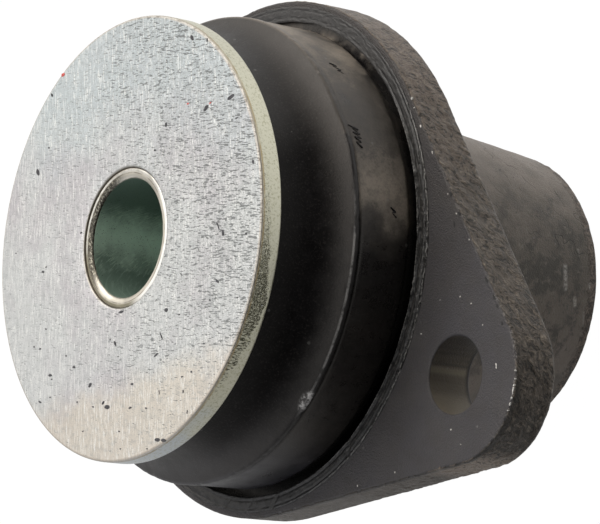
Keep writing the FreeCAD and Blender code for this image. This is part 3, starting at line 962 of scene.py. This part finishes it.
def makeFlashRing(material):
    v = flashValues
    base = flangeTopZ
    corners = [(v['innerEdge'], -0.6), (v['innerEdge'], 0.05), (v['innerCrest'], v['crestHeight']),
               (v['innerValley'], v['valleyHeight']), (v['bandInner'], v['bandHeight']),
               (v['bandOuter'], v['bandHeight']), (v['outerValley'], v['valleyHeight']),
               (v['outerCrest'], v['outerHeight']), ((flashRadius - recessRadius) / mm, 0.02)]
    spots = [(recessRadius + r * mm, base + h * mm) for r, h in corners]
    profile = spots[:1]
    for here, there in zip(spots, spots[1:]):
        profile += run(here, there, 3)
    profile += [(flashRadius - 0.1 * mm, base - 0.25 * mm)]
    ring = lathe('flashRing', profile, 1400)
    for vertex in ring.data.vertices:
        spot = vertex.co
        if spot.z < base - 0.1 * mm:
            continue
        radius = math.hypot(spot.x, spot.y)
        turn = azimuth(spot)
        angle = math.radians(turn)
        around = Vector((math.cos(angle), math.sin(angle), 0.0))
        share = ramp(turn, ridgeShare)
        level = 0.16 * mm
        spot.z = base + level + (spot.z - base - level) * share
        along = around * 36 + Vector((0, 0, (radius - recessRadius) / mm * 3.2))
        lump = noise.fractal(along, 1.0, 2.0, 4)
        slow = noise.noise(around * 2.2 + Vector((0, 0, 1)))
        wander = noise.noise(around * 9 + Vector((0, 0, 5)))
        spot.z += (lump * 0.11 * (0.45 + 0.55 * share) + slow * 0.05) * mm
        for place, half, depth in nicks:
            near = abs(turn - place + 6.0 * (radius - recessRadius) / recessRadius * 8) / half
            if near < 1:
                spot.z -= depth * (1 - near) * mm
        spot.z = max(spot.z, base + 0.01 * mm)
        pushOut(spot, (wander * 0.12 + lump * 0.06) * mm)
    mark(ring, 'lines', lambda spot: (ramp(azimuth(spot), ridgeShare) - 0.3) / 0.6)
    finishPiece(ring, material, 'rubber_body', degrees=70)
    return ring


# flange casting

castingValues = {
    'lobeRadius': 15.2 * mm,
    'holeRadius': 6.65 * mm,
    'holeRound': 0.45 * mm,
    'frontRound': 0.5 * mm,
    'backRound': 1.0 * mm,
    'hubReach': 3.0 * mm,
    'endChamfer': 0.6 * mm,
    'castRoughness': 0.27 * mm,     # height of the cast grain round the rim
    'grainSlant': 0.6,              # how far the grain leans round the rim
    'grainSqueeze': 0.75,
    'faceColour': (0.0405, 0.0405, 0.0475),
    'rimColour': (0.086, 0.070, 0.055),
    'skirtColour': (0.080, 0.067, 0.052),
    'skirtSheenColour': (0.200, 0.168, 0.140),
    'wornColour': (0.34, 0.33, 0.31),
    'rustColour': (0.20, 0.155, 0.12),
}

# wear along the flange's front edge, by azimuth in degrees
edgeWear = [(-180, 0.15), (-60, 0.15), (-12, 0.0), (0, 0.25), (9, 0.35), (20, 0.15), (60, 0.08), (180, 0.15)]

# bright chips: x, y, length and width in millimetres, and the turn in degrees
edgeChips = [(27.2, 39.3, 0.45, 0.25, 120), (28.7, 38.0, 0.35, 0.28, 40), (31.9, 35.6, 0.6, 0.4, 130),
             (37.0, 32.4, 0.6, 0.3, 140), (47.9, 24.8, 0.4, 0.25, 150), (44.2, 27.2, 0.25, 0.2, 150),
             (69.1, 5.1, 1.0, 0.28, 120), (53.0, 21.9, 0.3, 0.2, 150)]
lobeChips = [(24, 0.35), (18.5, 0.25), (14.5, 0.4), (11.0, 1.2), (6.5, 0.45), (2.5, 0.6), (-2.0, 0.3)]
edgePits = [(44.9, 27.4, 0.9, 0.5, 150), (48.6, 25.0, 0.9, 0.45, 140), (48.2, 23.0, 1.2, 0.4, 120),
            (60.3, 17.2, 1.3, 0.5, 150), (63.4, 15.2, 1.0, 0.5, 145), (64.8, 14.2, 0.8, 0.45, 140),
            (67.2, 12.0, 0.8, 0.4, 130)]
# marks on the skirt: azimuth and height of both ends, width in millimetres, colour and strength
skirtMarks = [
    (28, 9.6, 20, 9.3, 0.9, (0.42, 0.40, 0.37), 0.7), (16.5, 6.4, 14.0, 6.1, 0.7, (0.44, 0.42, 0.38), 0.8),
    (23, 2.4, 21, 2.2, 0.6, (0.50, 0.48, 0.44), 0.85), (36, 5.5, 34, 5.2, 0.5, (0.36, 0.34, 0.31), 0.5),
    (2, 1.2, -2, 1.5, 0.6, (0.34, 0.30, 0.26), 0.6), (12, 3.4, 6, 2.6, 0.35, (0.36, 0.34, 0.31), 0.5),
    (66, 7.4, 55, 6.2, 0.30, (0.008, 0.007, 0.006), 1.0),
    (57, 9.5, 48, 12.5, 0.9, (0.018, 0.017, 0.015), 0.6),
    (40, 16.0, 33, 19.0, 1.2, (0.016, 0.016, 0.014), 0.6),
    (8, 5.0, -6, 7.5, 0.8, (0.018, 0.017, 0.015), 0.6),
]
faceSpecks = [(55.3, 12.4, 0.4, 0.3, 20), (48.7, 3.2, 0.45, 0.3, 0), (58.5, 12.3, 0.3, 0.25, 60),
              (63.4, -8.6, 0.35, 0.3, 10), (62.9, 10.1, 0.3, 0.25, 0), (50.7, 10.1, 0.3, 0.22, 40),
              (53.2, -20.6, 0.35, 0.3, 0), (45.0, -26.6, 0.3, 0.25, 0), (66.8, -9.9, 0.3, 0.2, 0)]


def buildSlantGroup():
    # leans the place round the sleeve's axis in step with height, so that grain runs slantwise
    group, entry, leave = newGroup(
        'slantedPlace',
        [('Place', 'NodeSocketVector', None), ('Slant', 'NodeSocketFloat', 0.8),
         ('Squeeze', 'NodeSocketFloat', 0.3)],
        [('Place', 'NodeSocketVector')])
    x, y, z = parts(group, entry['Place'])
    flatPlace = node(group, 'ShaderNodeCombineXYZ', None, {0: x, 1: y}).outputs[0]
    around = vector2(group, 'NORMALIZE', vector2(group, 'CROSS_PRODUCT', (0, 0, 1), flatPlace))
    lean = times(group, z, entry['Slant'])
    total = vector2(group, 'ADD', flatPlace, scaled(group, around, times(group, lean, -1.0)))
    leanX, leanY = parts(group, total)[:2]
    squeezed = times(group, z, entry['Squeeze'])
    out = node(group, 'ShaderNodeCombineXYZ', None, {0: leanX, 1: leanY, 2: squeezed})
    group.links.new(out.outputs[0], leave['Place'])
    return group


slantGroup = buildSlantGroup()


def buildStrokeGroup():
    # a soft stroke between two places
    group, entry, leave = newGroup(
        'strokeMask',
        [('Place', 'NodeSocketVector', None), ('From', 'NodeSocketVector', None),
         ('To', 'NodeSocketVector', None), ('Width', 'NodeSocketFloat', 0.5)],
        [('Mask', 'NodeSocketFloat')])
    way = vector2(group, 'SUBTRACT', entry['To'], entry['From'])
    away = vector2(group, 'SUBTRACT', entry['Place'], entry['From'])
    share = math2(group, 'DIVIDE', vector2(group, 'DOT_PRODUCT', away, way, output=1),
                  vector2(group, 'DOT_PRODUCT', way, way, output=1), clamp=True)
    gap = vector2(group, 'SUBTRACT', away, scaled(group, way, share))
    gap = math2(group, 'DIVIDE', vector2(group, 'LENGTH', gap, output=1), entry['Width'])
    group.links.new(remap(group, gap, 0.2, 1.0, 1.0, 0.0), leave['Mask'])
    return group


strokeGroup = buildStrokeGroup()


def skirtPlace(turn, height):
    # a place on the skirt in millimetres
    radius = skirtRadius(height * mm) / mm
    return (radius * math.cos(math.radians(turn)), radius * math.sin(math.radians(turn)), height)


def castingMaterial():
    v = castingValues
    material, tree, shader = newMaterial('paintedCasting')
    place = objectPlace(tree)
    x, y, z = parts(tree, place)
    ragged = remap(tree, noiseValue(tree, place, 1.6, 4.0, 0.7), 0.38, 0.60)
    slanted = useGroup(tree, slantGroup, place, {'Slant': v['grainSlant'], 'Squeeze': v['grainSqueeze']})
    swirl = node(tree, 'ShaderNodeTexNoise', None, {'Scale': 0.45, 'Detail': 2.0, 'Vector': place})
    slanted = node(tree, 'ShaderNodeVectorMath', {'operation': 'MULTIPLY_ADD'},
                   {0: swirl.outputs['Color'], 1: (3.2, 3.2, 3.2), 2: slanted['Place']}).outputs[0]
    grain = useGroup(tree, grainGroup, place, {'Fine Scale': 3.2, 'Swell Scale': 0.5, 'Swell Share': 0.30})
    castGrain = useGroup(tree, grainGroup, slanted,
                         {'Fine Scale': 2.6, 'Swell Scale': 1.1, 'Swell Share': 0.50})
    dust = useGroup(tree, dustGroup, place, {'Speck Size': 0.07, 'Speck Scale': 0.30, 'Film Scale': 0.09})
    rimMask = stored(tree, 'rim')
    wear = stored(tree, 'wear')
    onSkirt = remap(tree, z, skirtHeight / mm - 0.1, skirtHeight / mm - 1.0)
    patches = noiseValue(tree, place, 0.20, 5.0, 0.66)
    face = mixColour(tree, remap(tree, patches, 0.40, 0.70, 0.0, 0.6), v['faceColour'], (0.036, 0.034, 0.036))
    inner = times(tree, remap(tree, x, 58.0, 49.0), remap(tree, y, -26.0, -12.0))
    face = mixColour(tree, times(tree, inner, 0.45), face, (0.024, 0.022, 0.022))
    # painted light: the rim is lighter towards its top
    paintedTopLight = remap(tree, y, 24.0, 44.0, 0.0, 0.7)
    rim = mixColour(tree, paintedTopLight, v['rimColour'], (0.195, 0.150, 0.118))
    # smoother along the straight lower side, darkest round the lower corner of the near lobe
    calm = remap(tree, y, -9.0, -20.0, 1.0, 0.35)
    corner = times(tree, remap(tree, y, -13.0, -8.0), remap(tree, y, 3.0, -2.0))
    corner = times(tree, corner, remap(tree, x, 60.0, 68.0, 0.0, 0.6))
    rim = mixColour(tree, corner, rim, (0.030, 0.026, 0.020))
    below = times(tree, remap(tree, y, -8.0, -12.0), remap(tree, x, 58.0, 64.0, 0.0, 0.95))
    rim = mixColour(tree, below, rim, (0.300, 0.240, 0.190))
    # painted highlight and shade: the cast grain's high spots are painted lighter and its low spots darker
    low = times(tree, remap(tree, castGrain['Height'], 0.41, 0.50, 1.0, 0.0), calm)
    rim = mixColour(tree, low, rim, (0.008, 0.007, 0.005))
    high = times(tree, remap(tree, castGrain['Height'], 0.53, 0.61, 0.0, 0.8), calm)
    rim = mixColour(tree, high, rim, (0.215, 0.180, 0.140))
    dent = stored(tree, 'dent')
    skirt = mixColour(tree, remap(tree, y, 18.0, -6.0), v['skirtColour'], (0.160, 0.132, 0.108))
    dark = times(tree, remap(tree, patches, 0.46, 0.58), remap(tree, y, -16.0, 0.0, 0.25, 0.85))
    skirt = mixColour(tree, dark, skirt, (0.036, 0.034, 0.028))
    # painted sheen: the skirt is lighter towards its top
    skirtTopSheen = weighted(tree, [(y, 1.0), (noiseValue(tree, place, 0.14, 4.0), 22.0)])
    skirt = painted(tree, skirt, [
        (skirtTopSheen, 26.0, 42.0, 0.85, v['skirtSheenColour']),
        (noiseValue(tree, place, 0.55, 4.0, 0.7), 0.56, 0.68, 0.75, (0.150, 0.132, 0.108)),
        (noiseValue(tree, place, 0.8, 4.0, 0.7, 0.6), 0.42, 0.30, 0.8, (0.016, 0.015, 0.013))])
    patchy = remap(tree, ragged, 0.0, 1.0, 0.2, 1.0)
    for turnA, heightA, turnB, heightB, width, paint, strength in skirtMarks:
        ends = {'From': skirtPlace(turnA, heightA), 'To': skirtPlace(turnB, heightB), 'Width': width}
        stroke = times(tree, useGroup(tree, strokeGroup, place, ends)['Mask'], patchy)
        skirt = mixColour(tree, times(tree, stroke, strength), skirt, paint)
    # painted light: the patch of skirt seen through the near bolt hole is painted lighter, where the flange
    # shades it
    paintedHoleLight = times(tree, remap(tree, z, 39.0, 43.0), remap(tree, x, 27.0, 30.0, 0.0, 0.95))
    skirt = mixColour(tree, paintedHoleLight, skirt, (0.52, 0.50, 0.51))
    # hairline scratches follow the contours of a slow noise, where another one lets them
    contour = distance(tree, noiseValue(tree, place, 0.11, 2.0, 0.55), 0.5)
    hairline = times(tree, remap(tree, contour, 0.0, 0.006, 1.0, 0.0),
                     remap(tree, noiseValue(tree, place, 0.16, 2.0), 0.50, 0.58))
    hairline = times(tree, hairline, onSkirt)
    skirt = mixColour(tree, times(tree, hairline, 0.7), skirt, (0.006, 0.006, 0.006))
    # paint worn away in a ragged band at the skirt's open end
    endWear = weighted(tree, [(z, 1.0), (noiseValue(tree, place, 0.9, 4.0, 0.7), 3.4)])
    endWear = remap(tree, endWear, 4.7, 3.5)
    rust = mixColour(tree, remap(tree, noiseValue(tree, place, 1.3, 4.0, 0.7), 0.42, 0.62), v['rustColour'],
                     (0.055, 0.046, 0.038))
    skirt = mixColour(tree, endWear, skirt, rust)
    colour = mixColour(tree, rimMask, face, rim)
    colour = mixColour(tree, times(tree, dent, 0.85), colour, (0.006, 0.006, 0.006))
    colour = mixColour(tree, onSkirt, colour, skirt)
    # inside the bolt holes the wall is brownish, in bands along the hole, with painted shade towards its top
    # and its back end and two painted highlight bands across it
    fromHole = minus(tree, math2(tree, 'ABSOLUTE', x), (flangeReachX - v['lobeRadius']) / mm)
    inHole = math2(tree, 'LESS_THAN', radiusOf(tree, fromHole, y), v['holeRadius'] / mm + 0.04)
    drawn = noiseValue(tree, objectPlace(tree, scale=(1, 1, 0.06)), 1.2, 2.0, 0.6)
    holeWall = mixColour(tree, remap(tree, weighted(tree, [(drawn, 5.0), (y, -0.35)]), 0.6, 4.6),
                         (0.030, 0.023, 0.016), (0.090, 0.075, 0.050))
    holeHighlightBand = remap(tree, math2(tree, 'ABSOLUTE', math2(tree, 'ADD', y, 1.4)), 0.2, 1.0, 0.85, 0.0)
    holeWall = mixColour(tree, holeHighlightBand, holeWall, (0.19, 0.165, 0.115))
    holeWall = painted(tree, holeWall, [
        (y, -4.4, -5.6, 0.6, (0.150, 0.130, 0.095)),
        (z, skirtHeight / mm + 1.4, skirtHeight / mm + 0.5, 1.0, (0.008, 0.007, 0.006))])
    colour = mixColour(tree, inHole, colour, holeWall)
    colour = mixColour(tree, times(tree, dust['Film'], 0.22), colour, (0.07, 0.066, 0.06))
    colour = mixColour(tree, times(tree, dust['Specks'], 0.4), colour, (0.24, 0.24, 0.23))
    worn = times(tree, wear, remap(tree, noiseValue(tree, place, 1.8, 3.0, 0.65), 0.50, 0.62, 0.0, 1.0))
    colour = mixColour(tree, worn, colour, v['wornColour'])
    rough = mixValue(tree, rimMask, 0.48, 0.40)
    rough = weighted(tree, [(rough, 1.0), (minus(tree, patches, 0.5), 0.30)])
    height = mixValue(tree, rimMask, times(tree, grain['Height'], 0.30), castGrain['Height'])
    height = weighted(tree, [(height, 1.0), (times(tree, endWear, grain['Mask']), 0.8), (hairline, -0.15)])
    connect(tree, shader, {'Base Color': colour, 'Roughness': rough, 'Specular Tint': (1.0, 0.93, 0.86),
                           'Normal': bump(tree, height, 1.0, 1.0 * mm)})
    return material


def makePlate():
    v = castingValues
    middle = flangeTopZ - flangeThickness / 2
    reach = flangeReachX - v['lobeRadius']
    deselectAll()
    bpy.ops.mesh.primitive_cylinder_add(vertices=600, radius=flangeRadius, depth=flangeThickness,
                                        location=(0, 0, 0))
    plate = bpy.context.object
    plate.name = 'flangeCasting'
    bpy.ops.object.mode_set(mode='EDIT')
    for side in (-1, 1):
        bpy.ops.mesh.primitive_cylinder_add(vertices=192, radius=v['lobeRadius'], depth=flangeThickness,
                                            location=(side * reach, 0, 0))
    bpy.ops.mesh.select_all(action='SELECT')
    bpy.ops.mesh.convex_hull()
    bpy.ops.mesh.select_all(action='SELECT')
    bpy.ops.mesh.dissolve_limited(angle_limit=math.radians(0.05))
    bpy.ops.transform.translate(value=(0, 0, middle))
    bpy.ops.object.mode_set(mode='OBJECT')
    pickEdges(plate, lambda a, b: (a - b).length > 12 * mm and abs(a.z - b.z) < 0.01 * mm)
    bpy.ops.mesh.subdivide(number_cuts=96)
    bpy.ops.object.mode_set(mode='OBJECT')
    top, bottom = flangeTopZ, flangeTopZ - flangeThickness
    pickEdges(plate, lambda a, b: min(a.z, b.z) > top - 0.01 * mm)
    bevelPicked(v['frontRound'], 3)
    pickEdges(plate, lambda a, b: max(a.z, b.z) < bottom + 0.01 * mm)
    bevelPicked(v['backRound'], 4)
    pickEdges(plate, lambda a, b: abs(a.z - b.z) > 5 * mm)
    bpy.ops.mesh.subdivide(number_cuts=19)
    bpy.ops.object.mode_set(mode='OBJECT')
    return plate


def makeSkirt():
    v = castingValues
    end = v['endChamfer']
    flareZ = skirtHeight - v['hubReach']
    top = skirtRadius(skirtHeight)
    inside, overlap = 18 * mm, 1.0 * mm     # the cavity is cut later, and the skirt reaches into the plate
    profile = [(inside, 0.0), (skirtRadius(0) - end, 0.0), (skirtRadius(end), end)]
    profile += run(profile[-1], (skirtRadius(flareZ), flareZ), 56)
    profile += bow(profile[-1], (top, skirtHeight), (top + v['hubReach'], skirtHeight), 8)[1:]
    profile += [(top + v['hubReach'], skirtHeight + overlap), (inside, skirtHeight + overlap)]
    return lathe('skirt', profile, 480)


def makeCavity():
    r = rubberValues
    recessZ = flangeTopZ - r['recessDepth']
    mouth = skirtRadius(recessZ) - r['skirtWall']
    foot = skirtRadius(0) - r['skirtWall']
    lead = r['mouthBreak']
    profile = [(0.0, -lead), (foot, -lead), (foot, 0.0), (mouth, recessZ - lead), (mouth + lead, recessZ),
               (recessRadius, recessZ), (recessRadius, flangeTopZ + lead), (0.0, flangeTopZ + lead)]
    return lathe('cavity', profile, 480)


def onOutline(spot):
    # true on the flange's outer side, false in its holes and recess
    v = castingValues
    fromHole = math.hypot(abs(spot.x) - flangeReachX + v['lobeRadius'], spot.y)
    return (spot.z > skirtHeight + 0.02 * mm and fromHole > v['holeRadius'] + 1.5 * mm
            and math.hypot(spot.x, spot.y) > flangeRadius - 1.2 * mm)


def makeFlangeCasting():
    v = castingValues
    casting = makePlate()
    combine(casting, makeSkirt(), 'UNION')
    combine(casting, makeCavity(), 'DIFFERENCE')
    reach = flangeReachX - v['lobeRadius']
    for side in (-1, 1):
        deselectAll()
        bpy.ops.mesh.primitive_cylinder_add(vertices=128, radius=v['holeRadius'], depth=4 * flangeThickness,
                                            location=(side * reach, 0, flangeTopZ))
        combine(casting, bpy.context.object, 'DIFFERENCE')

    def onHole(a, b):
        return all(abs(math.hypot(abs(p.x) - reach, p.y) - v['holeRadius']) < 0.02 * mm for p in (a, b)) \
            and abs(a.z - b.z) < 0.01 * mm

    pickEdges(casting, onHole)
    bevelPicked(v['holeRound'], 3)
    mark(casting, 'rim', lambda spot: 1.0 if onOutline(spot) and
         spot.z < flangeTopZ - (0.22 + 0.28 * noise.noise(spot * 600)) * mm else 0.0)
    mark(casting, 'wear', lambda spot: ramp(azimuth(spot), edgeWear)
         if onOutline(spot) and flangeTopZ - 0.42 * mm < spot.z < flangeTopZ - 0.01 * mm else 0.0)

    def dentHere(spot):
        turn, below = azimuth(spot), (flangeTopZ - spot.z) / mm
        if not onOutline(spot) or below > 1.3:
            return 0.0
        if -80 < turn < -3 and 0.15 < below < 0.95:
            return 0.95 + 0.8 * noise.noise(spot * 500)
        return 1.1 - abs(turn - 1.5) / 9 + noise.noise(spot * 900) if below > 0.45 else 0.0

    mark(casting, 'dent', dentHere)
    for vertex in casting.data.vertices:
        spot = vertex.co
        radius = math.hypot(spot.x, spot.y)
        if onOutline(spot):
            # slanting cast grain, softer towards the flat faces
            turn = Vector((-spot.y, spot.x, 0)) / radius
            leaned = spot - turn * v['grainSlant'] * spot.z
            leaned.z = v['grainSqueeze'] * spot.z
            leaned += noise.noise_vector(spot * 380) * 0.5 * mm
            grain = noise.fractal(leaned * 620, 0.9, 2.1, 4)
            below, above = flangeTopZ - spot.z, spot.z - skirtHeight
            depth = min(1.0, 0.5 + below / (1.2 * mm), 0.3 + above / (1.2 * mm))
            depth *= ramp(azimuth(spot), [(-40, 0.12), (-20, 0.9), (50, 1.0), (70, 0.4)])
            pushOut(spot, grain * v['castRoughness'] * max(0.0, depth))
        elif spot.z < skirtHeight and radius > skirtRadius(spot.z) - 0.7 * mm:
            ragged = max(0.0, 1.0 - spot.z / (1.6 * mm))
            waves = noise.fractal(spot * 160, 1.0, 2.0, 3) * 0.07 * mm
            pits = noise.fractal(spot * 620, 1.0, 2.0, 3) * (0.025 + 0.10 * ragged) * mm
            pushOut(spot, waves + pits - 0.05 * ragged * mm)
    finishPiece(casting, castingMaterial(), 'flange_housing', degrees=40)
    bright = fleckMaterial('brightChip', (0.40, 0.39, 0.37))
    radius = v['lobeRadius'] - 0.16 * mm
    chips = list(edgeChips)
    for turn, length in lobeChips:
        place = math.radians(turn)
        x, y = reach + radius * math.cos(place), radius * math.sin(place)
        chips.append((x / mm, y / mm, length, 0.22, turn + 90))
    darkPit = fleckMaterial('darkPit', (0.006, 0.006, 0.006))
    for name, flakes, z, rise, look in (('edgeChips', chips, flangeTopZ - 0.16 * mm, 0.36 * mm, bright),
                                        ('edgePits', edgePits, flangeTopZ, 0.10 * mm, darkPit),
                                        ('faceSpecks', faceSpecks, flangeTopZ, 0.08 * mm, bright)):
        makeFlakes(name, flakes, z, rise, look, 'flange_housing')
    return casting


# floor, light and camera

studioValues = {
    'floorSize': 6.0,
    'cameraAzimuth': math.radians(14.13),
    'cameraElevation': math.radians(37.74),
    'cameraDistance': 0.5524,
    'cameraAim': (-0.0001, 0.0003, 0.0507),
    'cameraRoll': math.radians(-81.5),
    'lens': 178.22,
}

# soft glows of the light tent: azimuth and elevation in degrees, strength and colour
tentGlows = [
    (134, 45, 4.66, (1.0, 0.95, 0.89)),
    (-106, 8, 0.94, (0.96, 0.96, 1.0)),
    (-106, 45, 0.52, (0.97, 0.98, 1.0)),
    (-166, 45, 0.21, (1.0, 1.0, 1.0)),
]
# light that the part gets from the floor on each side of it; the camera itself sees plain white
floorGlows = [(-166, 0.63), (-106, 0.35), (-46, 0.31), (14, 0.41), (74, 0.76), (134, 0.64)]
lampValues = {
    'topSoftbox': {'place': (0.0, 0.0, 1.25), 'size': 1.2, 'power': 4.0, 'colour': (1.0, 1.0, 1.0)},
}


def towards(turn, elevation):
    turn, elevation = math.radians(turn), math.radians(elevation)
    level = math.cos(elevation)
    return Vector((level * math.cos(turn), level * math.sin(turn), math.sin(elevation)))


def glowOf(tree, direction, aim, power, strength):
    # a soft spot of light round one direction
    facing = math2(tree, 'MAXIMUM', vector2(tree, 'DOT_PRODUCT', direction, aim, output=1), 0.0)
    return times(tree, math2(tree, 'POWER', facing, power), strength)


def cameraBack():
    return towards(math.degrees(studioValues['cameraAzimuth']), math.degrees(studioValues['cameraElevation']))


def seenByCamera(tree, shown, lit):
    # one strength for the camera's own rays, another for the light that reaches the part
    rays = node(tree, 'ShaderNodeLightPath')
    return mixValue(tree, rays.outputs['Is Camera Ray'], lit, shown)


def makeStudio():
    s = studioValues
    deselectAll()
    bpy.ops.mesh.primitive_plane_add(size=s['floorSize'], location=(0, 0, 0))
    floor = bpy.context.object
    floor.name = 'studioFloor'
    material, tree, shader = newMaterial('paleFloor')
    coords = node(tree, 'ShaderNodeTexCoord')
    side = vector2(tree, 'NORMALIZE', coords.outputs['Object'])
    glow = 0.0
    for turn, strength in floorGlows:
        glow = math2(tree, 'ADD', glowOf(tree, side, towards(turn, 0), 3.0, strength), glow)
    connect(tree, shader, {
        'Base Color': (0.02, 0.02, 0.02), 'Roughness': 1.0, 'Specular IOR Level': 0.0,
        'Emission Color': (1.0, 1.0, 1.0), 'Emission Strength': seenByCamera(tree, 1.0, glow)})
    floor.data.materials.append(material)
    world = bpy.data.worlds.new('studioWorld')
    world.use_nodes = True
    tree = world.node_tree
    coords = node(tree, 'ShaderNodeTexCoord')
    glows = (0.0, 0.0, 0.0)
    for turn, elevation, strength, tint in tentGlows:
        glow = glowOf(tree, coords.outputs['Generated'], towards(turn, elevation), 6.0, strength)
        glows = vector2(tree, 'ADD', scaled(tree, tint, glow), glows)
    rays = node(tree, 'ShaderNodeLightPath')
    seen = mixColour(tree, rays.outputs['Is Camera Ray'], glows, (1.0, 1.0, 1.0))
    connect(tree, tree.nodes['Background'], {'Color': seen, 'Strength': 1.0})
    bpy.context.scene.world = world
    for name, light in lampValues.items():
        deselectAll()
        bpy.ops.object.light_add(type='AREA', location=light['place'])
        lamp = bpy.context.object
        lamp.name = name
        lamp.data.size = light['size']
        lamp.data.energy = light['power']
        lamp.data.color = light['colour']


def makeCamera():
    s = studioValues
    back = cameraBack()
    deselectAll()
    bpy.ops.object.camera_add(location=Vector(s['cameraAim']) + back * s['cameraDistance'])
    camera = bpy.context.object
    camera.name = 'photoCamera'
    camera.rotation_mode = 'QUATERNION'
    turn = (-back).to_track_quat('-Z', 'Y').to_matrix() @ Matrix.Rotation(s['cameraRoll'], 3, 'Z')
    camera.rotation_quaternion = turn.to_quaternion()
    camera.data.lens = s['lens']
    camera.data.clip_start = 0.01
    bpy.context.scene.camera = camera


makeStopWasher()
makeInnerSleeve()
rubberLook = rubberMaterial()
makeRubberBody(rubberLook)
makeBurrs(rubberLook)
makeFlashRing(flashMaterial())
makeFlangeCasting()
makeStudio()
makeCamera()
bpy.context.scene.view_settings.view_transform = 'Standard'
print('studio ready')
